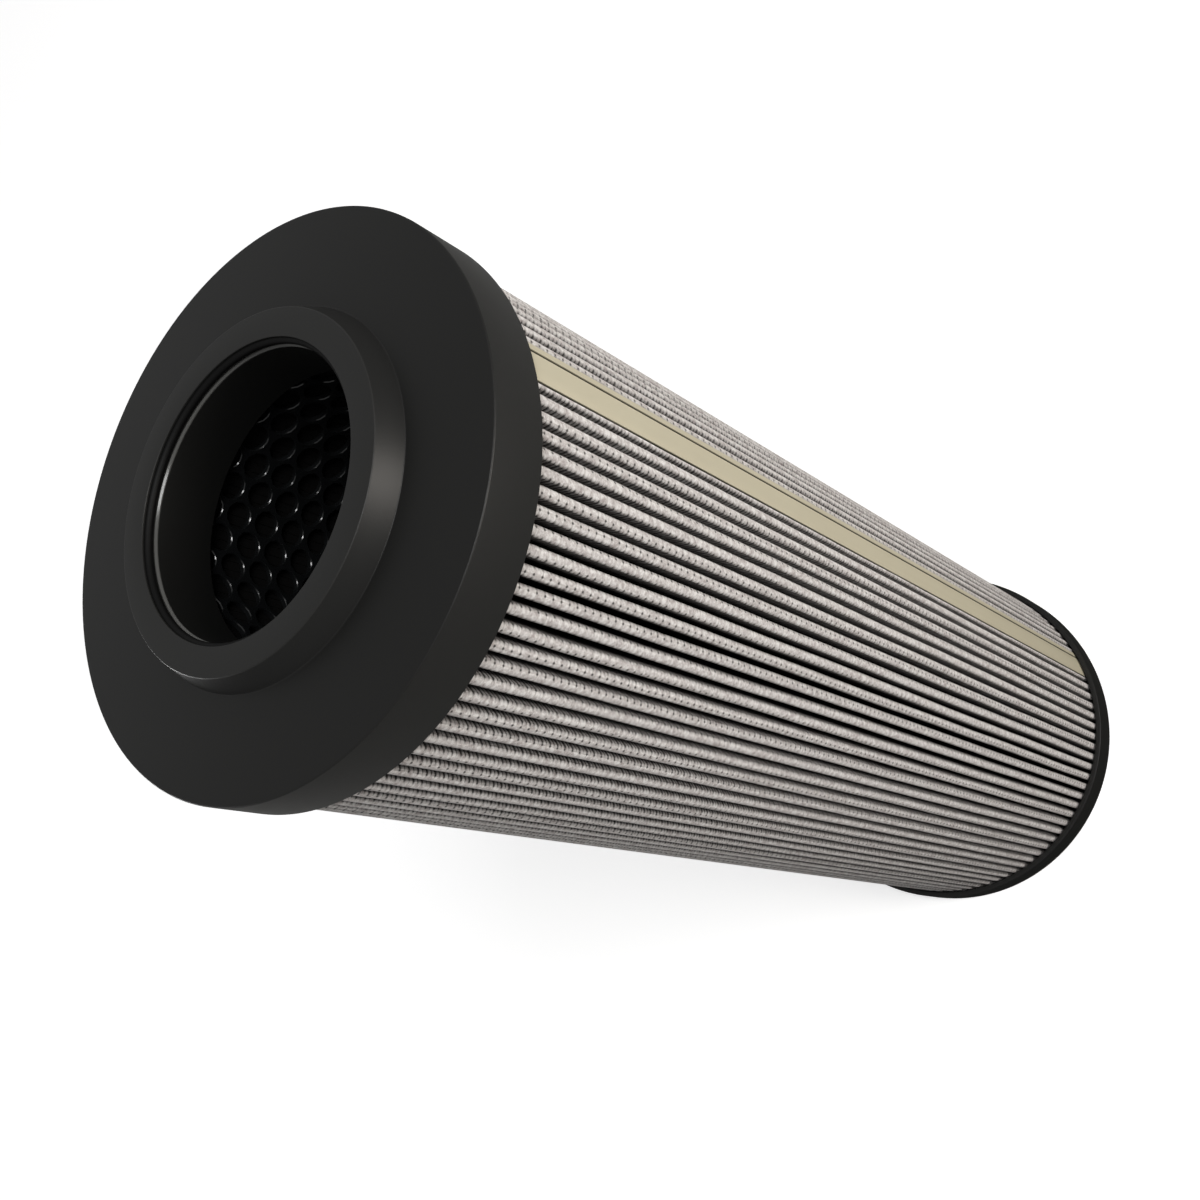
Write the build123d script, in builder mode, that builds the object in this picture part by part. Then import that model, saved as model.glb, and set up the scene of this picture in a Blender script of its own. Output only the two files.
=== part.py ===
"""Pleated hydraulic filter element, standing on its closed end.

Millimetres. The origin is the middle of the closed end's face, +Z runs up the
axis to the open neck, and the side seam of the pleat pack faces +X.
"""
import math
import os

from build123d import *

os.makedirs("parts", exist_ok=True)

# Overall
cap_face_height = 237.3
cap_radius = 43.25
cap_edge_chamfer = 0.25
skirt_wall = 1.25

# Open end cap: face, skirt, conical neck and the sleeve that plugs the core tube
open_skirt_depth = 9.15
open_cap_thickness = 2.2
neck_height = 3.95
neck_front_wall = 4.4
neck_taper = 1.55
sleeve_bore_radius = 21.4
sleeve_wall = 1.0
sleeve_depth = 7.7
sleeve_lead_in = 0.2
mouth_step = 0.7
mouth_depth = 0.35

# Seal ring in the mouth, with the bevelled section it has when it is squeezed on its spigot
ring_section = 1.4
ring_bevel = 0.35
ring_play = 0.04
ring_stand_back = 0.02

# Closed end cap
closed_skirt_depth = 7.4
closed_cap_thickness = 2.0
spigot_wall = 1.4
spigot_depth = 6.0

# Perforated core tube
core_wall = 0.9
core_play = 0.1
perforation_diameter = 4.6
perforation_sides = 6
perforations_per_row = 8
perforation_rows = 6
core_plain_end = 18.0

# Adhesive that beds the pleat ends in both caps
adhesive_thickness = 1.6
adhesive_play = 0.05

# Pleat pack: two sheets folded together, as many pleats as stand round the core
pleat_tip_play = 0.3
mesh_thickness = 0.3
medium_thickness = 0.35
crest_hollow = 0.4
root_hollow = 0.08
valley_width = 0.1
fold_bevel = 0.3
pack_play = 0.2

# Side seam: a channel between the two end legs, with a lip over one of them
seam_positions = 3
strip_thickness = 1.0
strip_edge_play = 0.11
strip_groove_width = 0.58
strip_groove_depth = 0.75
strip_foot_play = 2.4
strip_play = 0.03
lip_depth = 3.0
lip_play = 0.13
half_crest_stand_off = 0.35

# Levels along the axis
pack_bottom = closed_cap_thickness + adhesive_thickness
open_channel_top = cap_face_height - open_cap_thickness
pack_top = open_channel_top - adhesive_thickness
pack_length = pack_top - pack_bottom
neck_front = cap_face_height + neck_height

# Radii that follow from the pieces they fit
skirt_inner_radius = cap_radius - skirt_wall
mouth_radius = sleeve_bore_radius + mouth_step
neck_front_radius = mouth_radius + neck_front_wall
neck_root_radius = neck_front_radius + neck_taper
sleeve_radius = sleeve_bore_radius + sleeve_wall
core_inner_radius = sleeve_radius + core_play
core_radius = core_inner_radius + core_wall
ring_radius = sleeve_bore_radius + ring_stand_back + ring_section / 2
ring_groove_radius = ring_radius + ring_section / 2 + ring_play
ring_groove_height = ring_section + 2 * ring_play

# The fold, worked out from the room between the core and the skirts
pleat_radius = skirt_inner_radius - pleat_tip_play
stack_thickness = mesh_thickness + medium_thickness
root_radius = core_radius + pack_play
crest_half_width = stack_thickness + crest_hollow / 2
leg_pair = 2 * stack_thickness + root_hollow
pleat_positions = math.floor(2 * math.pi * root_radius / (leg_pair + valley_width))
pleat_count = pleat_positions - seam_positions
pleat_pitch = 360 / pleat_positions
root_half_pitch = root_radius * math.sin(math.radians(pleat_pitch / 2))
valley_half_width = root_half_pitch - leg_pair / 2

# The seam, between the crest lines of the two end legs
seam_half_angle = seam_positions * pleat_pitch / 2
end_leg_angle = seam_half_angle - pleat_pitch / 2
first_crest_angle = seam_half_angle + pleat_pitch / 2
end_leg_radius = pleat_radius - strip_thickness - strip_play


def turned(radius, angle, sideways):
    """The angle, in degrees, of the point at a radius and a length sideways from a ray."""
    return angle + math.degrees(math.asin(sideways / radius))


def polar(radius, angle, sideways=0.0):
    """The point at a radius and a length sideways from the ray at an angle."""
    around = math.radians(turned(radius, angle, sideways))
    return (radius * math.cos(around), radius * math.sin(around))


def skin_points(depth, half_crest):
    """Outline of the folded pack at a depth below its outer skin, seam end to seam end.

    With half_crest, the leg at the strip's open edge bends over at the crests' height.
    """
    crest = pleat_radius - depth
    crest_half = crest_half_width - depth
    root = root_radius + stack_thickness - depth
    valley_half = valley_half_width + depth
    bevel = max(fold_bevel - depth, 0)
    points = [polar(end_leg_radius, end_leg_angle, crest_half)]
    for pleat in range(pleat_count):
        root_angle = seam_half_angle + pleat * pleat_pitch
        crest_angle = root_angle + pleat_pitch / 2
        points.append(polar(root, root_angle, -valley_half))
        points.append(polar(root, root_angle, valley_half))
        points.append(polar(crest - bevel, crest_angle, -crest_half))
        if bevel > 0:
            points.append(polar(crest, crest_angle, bevel - crest_half))
            points.append(polar(crest, crest_angle, crest_half - bevel))
        points.append(polar(crest - bevel, crest_angle, crest_half))
    points.append(polar(root, -seam_half_angle, -valley_half))
    points.append(polar(root, -seam_half_angle, valley_half))
    if half_crest:
        points.append(polar(crest - bevel, -end_leg_angle, -crest_half))
        if bevel > 0:
            points.append(polar(crest, -end_leg_angle, bevel - crest_half))
        points.append(polar(crest, -end_leg_angle, -half_crest_stand_off))
    else:
        points.append(polar(end_leg_radius, -end_leg_angle, -crest_half))
    return points


def pleated_sheet(depth, thickness, half_crest):
    """A sheet of the pack: its outer skin, back along its inner skin, run up the axis."""
    outer_skin = skin_points(depth, half_crest)
    inner_skin = skin_points(depth + thickness, half_crest)
    outline = outer_skin + inner_skin[::-1]
    with BuildPart() as sheet:
        with BuildSketch(Plane.XY.offset(pack_bottom)):
            with BuildLine():
                Polyline(*outline, close=True)
            make_face()
        extrude(amount=pack_length)
    return sheet.part


def ring(inner_radius, outer_radius, bottom, height):
    """A plain flat ring round the axis."""
    with BuildPart() as flat_ring:
        with BuildSketch(Plane.XY.offset(bottom)):
            Circle(outer_radius)
            Circle(inner_radius, mode=Mode.SUBTRACT)
        extrude(amount=height)
    return flat_ring.part


# Open end cap, one moulding: face and skirt, neck, and the sleeve inside the core
with BuildPart() as open_end_cap:
    with BuildSketch(Plane.XY.offset(cap_face_height - open_skirt_depth)):
        Circle(cap_radius)
        Circle(skirt_inner_radius, mode=Mode.SUBTRACT)
    extrude(amount=open_skirt_depth)
    with BuildSketch(Plane.XY.offset(open_channel_top)):
        Circle(cap_radius)
    extrude(amount=open_cap_thickness)
    rim = open_end_cap.faces().sort_by(Axis.Z)[-1].edges().sort_by(SortBy.LENGTH)[-1]
    chamfer(rim, length=cap_edge_chamfer)
    with BuildSketch(Plane.XZ):
        with BuildLine():
            Polyline(
                (0, cap_face_height),
                (neck_root_radius, cap_face_height),
                (neck_front_radius, neck_front),
                (0, neck_front),
                close=True,
            )
        make_face()
    revolve(axis=Axis.Z)
    with BuildSketch(Plane.XY.offset(cap_face_height - sleeve_depth)):
        Circle(sleeve_radius)
    extrude(amount=sleeve_depth)
    with BuildSketch(Plane.XZ):
        with BuildLine():
            groove_top = neck_front - mouth_depth
            land_top = groove_top - ring_groove_height
            Polyline(
                (0, cap_face_height - sleeve_depth),
                (sleeve_bore_radius, cap_face_height - sleeve_depth),
                (sleeve_bore_radius, land_top - sleeve_lead_in),
                (sleeve_bore_radius + sleeve_lead_in, land_top),
                (ring_groove_radius, land_top),
                (ring_groove_radius, groove_top),
                (mouth_radius, groove_top),
                (mouth_radius, neck_front),
                (0, neck_front),
                close=True,
            )
        make_face()
    revolve(axis=Axis.Z, mode=Mode.SUBTRACT)
open_end_cap.part.label = "open_end_cap"

# Seal ring in the neck's mouth
with BuildPart() as neck_o_ring:
    with BuildSketch(Plane.XZ) as neck_o_ring_section:
        with Locations((ring_radius, groove_top - ring_groove_height / 2)):
            Rectangle(ring_section, ring_section)
        chamfer(neck_o_ring_section.vertices(), length=ring_bevel)
    revolve(axis=Axis.Z)
neck_o_ring.part.label = "neck_o_ring"

# Closed end cap, one moulding: face and skirt, and the spigot that centres the core
with BuildPart() as closed_end_cap:
    with BuildSketch(Plane.XY):
        Circle(cap_radius)
    extrude(amount=closed_skirt_depth)
    chamfer(closed_end_cap.edges().sort_by(Axis.Z)[0], length=cap_edge_chamfer)
    with BuildSketch(Plane.XY.offset(closed_cap_thickness)):
        Circle(skirt_inner_radius)
    extrude(amount=closed_skirt_depth - closed_cap_thickness, mode=Mode.SUBTRACT)
    with BuildSketch(Plane.XY.offset(closed_cap_thickness)):
        Circle(sleeve_radius)
        Circle(sleeve_radius - spigot_wall, mode=Mode.SUBTRACT)
    extrude(amount=spigot_depth)
closed_end_cap.part.label = "closed_end_cap"

# Core tube, rolled from perforated plate: rows of holes, every second row turned by half a step
with BuildPart() as core_tube:
    core_length = open_channel_top - closed_cap_thickness
    row_step = (core_length - 2 * core_plain_end) / (perforation_rows - 1)
    column_step = 360 / perforations_per_row
    with BuildSketch(Plane.XY.offset(closed_cap_thickness)):
        Circle(core_radius)
        Circle(core_inner_radius, mode=Mode.SUBTRACT)
    extrude(amount=core_length)
    hole_planes = []
    for row in range(perforation_rows):
        row_height = closed_cap_thickness + core_plain_end + row * row_step
        for column in range(perforations_per_row):
            angle = (column + row % 2 / 2) * column_step
            outward = Vector(*polar(1, angle))
            start = outward * (core_inner_radius - core_wall) + Vector(0, 0, row_height)
            hole_planes.append(Plane(origin=start, x_dir=(0, 0, 1), z_dir=outward))
    with BuildSketch(*hole_planes):
        RegularPolygon(perforation_diameter / 2, perforation_sides)
    extrude(amount=3 * core_wall, mode=Mode.SUBTRACT)
core_tube.part.label = "core_tube"

# Pleat pack: the wire cloth outside and the fibre medium inside it, folded together
outer_support_mesh = pleated_sheet(0, mesh_thickness, half_crest=True)
outer_support_mesh.label = "outer_support_mesh"
filter_medium = pleated_sheet(mesh_thickness, medium_thickness, half_crest=False)
filter_medium.label = "filter_medium"


def arc_band(inner_radius, outer_radius, start, end):
    """A flat band between two radii and two angles."""
    with BuildSketch() as band:
        with BuildLine():
            outer_arc = CenterArc((0, 0), outer_radius, start, end - start)
            inner_arc = CenterArc((0, 0), inner_radius, start, end - start)
            Line(outer_arc @ 0, inner_arc @ 0)
            Line(outer_arc @ 1, inner_arc @ 1)
        make_face()
    return band.sketch


def strip_wall():
    """The section of the seam channel's wall along the end leg on the +Y side."""
    leg_half = crest_half_width - stack_thickness
    valley_half = valley_half_width + stack_thickness
    top_x, top_y = polar(end_leg_radius, end_leg_angle, leg_half)
    root_x, root_y = polar(root_radius, seam_half_angle, -valley_half)
    slope = (top_y - root_y) / (top_x - root_x)
    web_x = pleat_radius - strip_thickness
    foot_x = root_radius + strip_foot_play
    face_top = top_y + slope * (web_x - top_x) - strip_play
    face_foot = root_y + slope * (foot_x - root_x) - strip_play
    with BuildSketch() as wall:
        with BuildLine():
            Polyline(
                (web_x, face_top),
                (foot_x, face_foot),
                (foot_x, face_foot - strip_thickness),
                (web_x, face_top - strip_thickness),
                close=True,
            )
        make_face()
    return wall.sketch


# Seam strip: web flush with the crests, two walls inward, a groove and a lip over one leg
with BuildPart() as seam_strip:
    web_radius = pleat_radius - strip_thickness
    lip_radius = pleat_radius - lip_depth
    groove_radius = pleat_radius - strip_groove_depth
    face_edge = turned(pleat_radius, end_leg_angle, -strip_edge_play)
    groove_edge = turned(pleat_radius, face_edge, strip_groove_width)
    lip_start = turned(end_leg_radius, end_leg_angle, crest_half_width + strip_play)
    lip_end = turned(pleat_radius, first_crest_angle, -crest_half_width - lip_play)
    with BuildSketch(Plane.XY.offset(pack_bottom)):
        add(arc_band(web_radius, pleat_radius, -face_edge, lip_end))
        add(arc_band(lip_radius, pleat_radius, lip_start, lip_end))
        add(strip_wall())
        add(mirror(strip_wall(), about=Plane.XZ, mode=Mode.PRIVATE))
        add(
            arc_band(groove_radius, cap_radius, face_edge, groove_edge),
            mode=Mode.SUBTRACT,
        )
    extrude(amount=pack_length)
seam_strip.part.label = "seam_strip"

# Adhesive beds, one in each cap, between the core tube and the skirt
bed_inner_radius = core_radius + adhesive_play
bed_outer_radius = skirt_inner_radius - adhesive_play
closed_end_adhesive = ring(
    bed_inner_radius, bed_outer_radius, closed_cap_thickness, adhesive_thickness
)
closed_end_adhesive.label = "closed_end_adhesive"
open_end_adhesive = ring(bed_inner_radius, bed_outer_radius, pack_top, adhesive_thickness)
open_end_adhesive.label = "open_end_adhesive"

pieces = [
    open_end_cap.part,
    neck_o_ring.part,
    open_end_adhesive,
    core_tube.part,
    outer_support_mesh,
    filter_medium,
    seam_strip.part,
    closed_end_adhesive,
    closed_end_cap.part,
]
for piece in pieces:
    export_step(piece, f"parts/{piece.label}.step")
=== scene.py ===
"""Looks of a pleated hydraulic filter element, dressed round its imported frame.

The element stands on its closed end, +Z up the axis to the open neck, and its
side seam faces +X. Sizes are in millimetres until a mesh is made.
"""
from __future__ import annotations

import logging
import math
from dataclasses import dataclass

import bmesh
import bpy
from mathutils import Matrix, Vector


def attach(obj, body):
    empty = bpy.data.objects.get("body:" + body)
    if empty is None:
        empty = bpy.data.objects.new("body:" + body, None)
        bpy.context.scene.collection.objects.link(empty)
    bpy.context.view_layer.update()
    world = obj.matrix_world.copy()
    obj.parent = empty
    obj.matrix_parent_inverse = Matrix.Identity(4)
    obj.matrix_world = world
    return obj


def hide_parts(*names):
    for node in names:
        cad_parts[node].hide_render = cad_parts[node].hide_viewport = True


LOG = logging.getLogger("filter_element")
MM = 0.001
BODY = "root"
# Attribute with the length along the folded cloth, and the attribute with a pleat's number.
DEVELOPED = "developed"
PLEAT = "pleat"
Point = tuple[float, float]
Vert = bmesh.types.BMVert
Socket = bpy.types.NodeSocket
Inputs = dict[int | str, object]


def linear(code: str) -> tuple[float, float, float, float]:
    """Turn an sRGB hex colour into linear light.

    Args:
        code: six hex digits after a hash mark.

    Returns:
        Red, green, blue and an alpha of one.
    """
    channels = [int(code[i : i + 2], 16) / 255 for i in (1, 3, 5)]
    light = [c / 12.92 if c <= 0.04045 else ((c + 0.055) / 1.055) ** 2.4 for c in channels]
    return (light[0], light[1], light[2], 1.0)


def bearing(azimuth: float, elevation: float) -> Vector:
    """Unit vector towards an azimuth and an elevation in degrees."""
    turn, rise = math.radians(azimuth), math.radians(elevation)
    level = math.cos(rise)
    return Vector((level * math.cos(turn), level * math.sin(turn), math.sin(rise)))


def feed(tree: bpy.types.NodeTree, node: bpy.types.Node, inputs: Inputs) -> None:
    """Link or set a node's inputs.

    Args:
        tree: the node's tree.
        node: the node.
        inputs: input name or number, with a socket or value to link or a constant to set.
    """
    for key, given in inputs.items():
        given = given.socket if isinstance(given, Value) else given
        if isinstance(given, Socket):
            tree.links.new(given, node.inputs[key])
        else:
            node.inputs[key].default_value = given


def add_node(
    tree: bpy.types.NodeTree, kind: str, inputs: Inputs | None = None, **settings: object
) -> bpy.types.Node:
    """Add a node with its settings, its input values and its links.

    Args:
        tree: the node tree that gets the node.
        kind: the node's type name.
        inputs: what feeds its inputs.
        settings: the node's own properties.

    Returns:
        The new node.
    """
    node = tree.nodes.new(kind)
    for name, value in settings.items():
        setattr(node, name, value)
    feed(tree, node, inputs or {})
    return node


@dataclass(frozen=True)
class Value:
    """A number in a node tree. Python's operators on it add Math nodes."""

    tree: bpy.types.NodeTree
    socket: Socket

    def calc(self, operation: str, *terms: Value | float) -> Value:
        """Add a Math node.

        Args:
            operation: the node's operation.
            terms: its terms, in order.

        Returns:
            The result.
        """
        inputs = dict(enumerate(terms))
        node = add_node(self.tree, "ShaderNodeMath", inputs, operation=operation)
        return Value(self.tree, node.outputs[0])

    def of(self, operation: str) -> Value:
        """An operation of this value alone, such as its sine."""
        return self.calc(operation, self)

    def __add__(self, other: Value | float) -> Value:
        return self.calc("ADD", self, other)

    def __sub__(self, other: Value | float) -> Value:
        return self.calc("SUBTRACT", self, other)

    def __rsub__(self, other: float) -> Value:
        return self.calc("SUBTRACT", other, self)

    def __mul__(self, other: Value | float) -> Value:
        return self.calc("MULTIPLY", self, other)

    def __truediv__(self, other: Value | float) -> Value:
        return self.calc("DIVIDE", self, other)

    def __mod__(self, other: Value | float) -> Value:
        return self.calc("MODULO", self, other)

    def __pow__(self, other: float) -> Value:
        return self.calc("POWER", self, other)

    def __gt__(self, other: Value | float) -> Value:
        return self.calc("GREATER_THAN", self, other)

    def __lt__(self, other: Value | float) -> Value:
        return self.calc("LESS_THAN", self, other)

    def at_least(self, floor: Value | float) -> Value:
        """The larger of this value and a floor."""
        return self.calc("MAXIMUM", self, floor)

    def at_most(self, ceiling: Value | float) -> Value:
        """The smaller of this value and a ceiling."""
        return self.calc("MINIMUM", self, ceiling)


class Nodes:
    """A node tree under construction."""

    def __init__(self, tree: bpy.types.NodeTree) -> None:
        """Take the tree.

        Args:
            tree: the tree that gets the nodes.
        """
        self.tree = tree

    def add(self, kind: str, inputs: Inputs | None = None, **settings: object) -> bpy.types.Node:
        """Add a node; the arguments are those of add_node."""
        return add_node(self.tree, kind, inputs, **settings)

    def parts(self, vector: Socket) -> list[Value]:
        """X, Y and Z of a vector."""
        split = self.add("ShaderNodeSeparateXYZ", {0: vector})
        return [Value(self.tree, part) for part in split.outputs]

    def round_axis(self, place: Socket) -> tuple[Value, Value]:
        """Distance of a place from the element's axis, and its height, in metres."""
        across, along, height = self.parts(place)
        return (across * across + along * along).of("SQRT"), height

    def ranged(self, value: object, **ends: object) -> Value:
        """Map a value from one range to another and keep it there.

        Args:
            value: the value.
            ends: those of from_min, from_max, to_min and to_max that aren't 0 and 1.

        Returns:
            The mapped value.
        """
        inputs = {name.replace("_", " ").title(): end for name, end in ends.items()}
        node = self.add("ShaderNodeMapRange", {"Value": value, **inputs})
        return Value(self.tree, node.outputs["Result"])

    def mixed(self, factor: object, first: str | Socket, second: str | Socket) -> Socket:
        """Mix two colours, each a hex code or a socket."""
        one, two = (linear(end) if isinstance(end, str) else end for end in (first, second))
        ends = {"Factor": factor, 6: one, 7: two}
        return self.add("ShaderNodeMix", ends, data_type="RGBA").outputs[2]

    def blended(self, factor: object, first: object, second: object) -> Socket:
        """Mix two numbers."""
        ends = {"Factor": factor, 2: first, 3: second}
        return self.add("ShaderNodeMix", ends, data_type="FLOAT").outputs[0]


def emptied(owner: bpy.types.Material | bpy.types.World) -> bpy.types.NodeTree:
    """Empty the node tree of a material or a world and return it."""
    owner.use_nodes = True
    owner.node_tree.nodes.clear()
    return owner.node_tree


class Paint(Nodes):
    """A material in the making, round one Principled surface."""

    def __init__(self, name: str) -> None:
        """Start the material.

        Args:
            name: the finish's name.
        """
        self.material = bpy.data.materials.new(name)
        super().__init__(emptied(self.material))
        self.surface = self.add("ShaderNodeBsdfPrincipled")
        self.add("ShaderNodeOutputMaterial", {"Surface": self.surface.outputs["BSDF"]})
        self.place = self.add("ShaderNodeTexCoord").outputs["Object"]

    def noise(self, size_mm: float, detail: float, **more: object) -> bpy.types.Node:
        """Add noise in object space.

        Args:
            size_mm: size of its patches.
            detail: finer layers added to it.
            more: other inputs of the node.

        Returns:
            The node.
        """
        inputs = {"Vector": self.place, "Scale": 1 / (size_mm * MM), "Detail": detail, **more}
        return self.add("ShaderNodeTexNoise", inputs)

    def finished(
        self, looks: Inputs, relief: object, height_mm: float, strength: float = 1.0
    ) -> bpy.types.Material:
        """Set the surface's looks and its bump.

        Args:
            looks: what feeds the surface's inputs.
            relief: the bump's height, 0 to 1.
            height_mm: what a height of 1 stands for.
            strength: share of the bump that shows.

        Returns:
            The finished material.
        """
        raised = {"Strength": strength, "Distance": height_mm * MM, "Height": relief}
        bump = self.add("ShaderNodeBump", raised)
        feed(self.tree, self.surface, {**looks, "Normal": bump.outputs["Normal"]})
        return self.material


@dataclass(frozen=True)
class MouldedNylon:
    """Glass-filled nylon, injection moulded: near black, satin, with a faint fine grain.

    The neck's front is paler, and the lead-in of its bore is glossier, its colour painted pale as a
    painted highlight.
    """

    name: str = "glass_filled_nylon_moulded"
    deep: str = "#191918"
    pale: str = "#1b1b1a"
    # Paler tone of the neck's front.
    front_tone: str = "#262625"
    # Painted highlight on the bore's lead-in.
    lip_highlight: str = "#5a5a58"
    roughness: float = 0.42
    roughness_spread: float = 0.05
    lip_roughness: float = 0.16
    specular: float = 0.4
    front_mm: float = 241.1
    lip_radius_mm: float = 22.0
    lip_foot_mm: float = 239.0
    lip_top_mm: float = 239.5
    cloud_mm: float = 22.0
    cloud_detail: float = 3.0
    grain_mm: float = 0.35
    grain_detail: float = 2.0
    grain_height_mm: float = 0.012
    grain_strength: float = 0.5

    def build(self) -> bpy.types.Material:
        """Make the material: soft clouding in colour and gloss, and grain as bump."""
        paint = Paint(self.name)
        radius, height = paint.round_axis(paint.place)
        front = height > self.front_mm * MM
        # The lead-in's lip: glossier, and its colour painted pale as a painted highlight.
        band = (height > self.lip_foot_mm * MM) * (height < self.lip_top_mm * MM)
        lip = band * (radius < self.lip_radius_mm * MM)
        cloud = paint.noise(self.cloud_mm, self.cloud_detail).outputs["Fac"]
        faced = paint.mixed(front, paint.mixed(cloud, self.deep, self.pale), self.front_tone)
        spread = self.roughness_spread / 2
        gloss = paint.ranged(cloud, to_min=self.roughness - spread, to_max=self.roughness + spread)
        grain = paint.noise(self.grain_mm, self.grain_detail)
        looks = {
            "Base Color": paint.mixed(lip, faced, self.lip_highlight),
            "Roughness": paint.blended(lip, gloss, self.lip_roughness),
            "Specular IOR Level": self.specular,
        }
        return paint.finished(
            looks, grain.outputs["Fac"], self.grain_height_mm, self.grain_strength
        )


@dataclass(frozen=True)
class Mottled:
    """A surface with mottling in colour and a matching bump."""

    name: str
    base: str
    shade: str
    roughness: float
    mottle_mm: float
    height_mm: float
    specular: float = 0.5
    detail: float = 5.0
    strength: float = 0.6

    def build(self) -> bpy.types.Material:
        """Make the material."""
        paint = Paint(self.name)
        mottle = paint.noise(self.mottle_mm, self.detail).outputs["Fac"]
        looks = {
            "Base Color": paint.mixed(mottle, self.base, self.shade),
            "Roughness": self.roughness,
            "Specular IOR Level": self.specular,
        }
        return paint.finished(looks, mottle, self.height_mm, self.strength)


# Black enamel stoved on steel: deep and glossy, with the soft orange peel it dries to.
ENAMEL = Mottled("stoved_black_enamel", "#141516", "#191a1b", 0.17, 1.6, 0.03, 0.8, detail=1.0)
# Nitrile rubber, moulded: dead black with a dull bloom.
NITRILE = Mottled("nitrile_rubber_moulded", "#0c0c0c", "#070707", 0.55, 1.2, 0.01, 0.2)
# Epoxy potting, poured and cured: black, levelled, slightly wavy.
EPOXY = Mottled("black_epoxy_potting", "#121213", "#0b0b0c", 0.35, 3.0, 0.05)
# Glass-fibre mat: felted, its colour painted near black as painted shade where it shows through the
# core's holes.
FIBRE_MAT_PAINTED_SHADE = Mottled("glass_fibre_mat_painted_shade", "#131212", "#0b0b0a", 0.9, 0.4, 0.05, 0.1)


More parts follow.
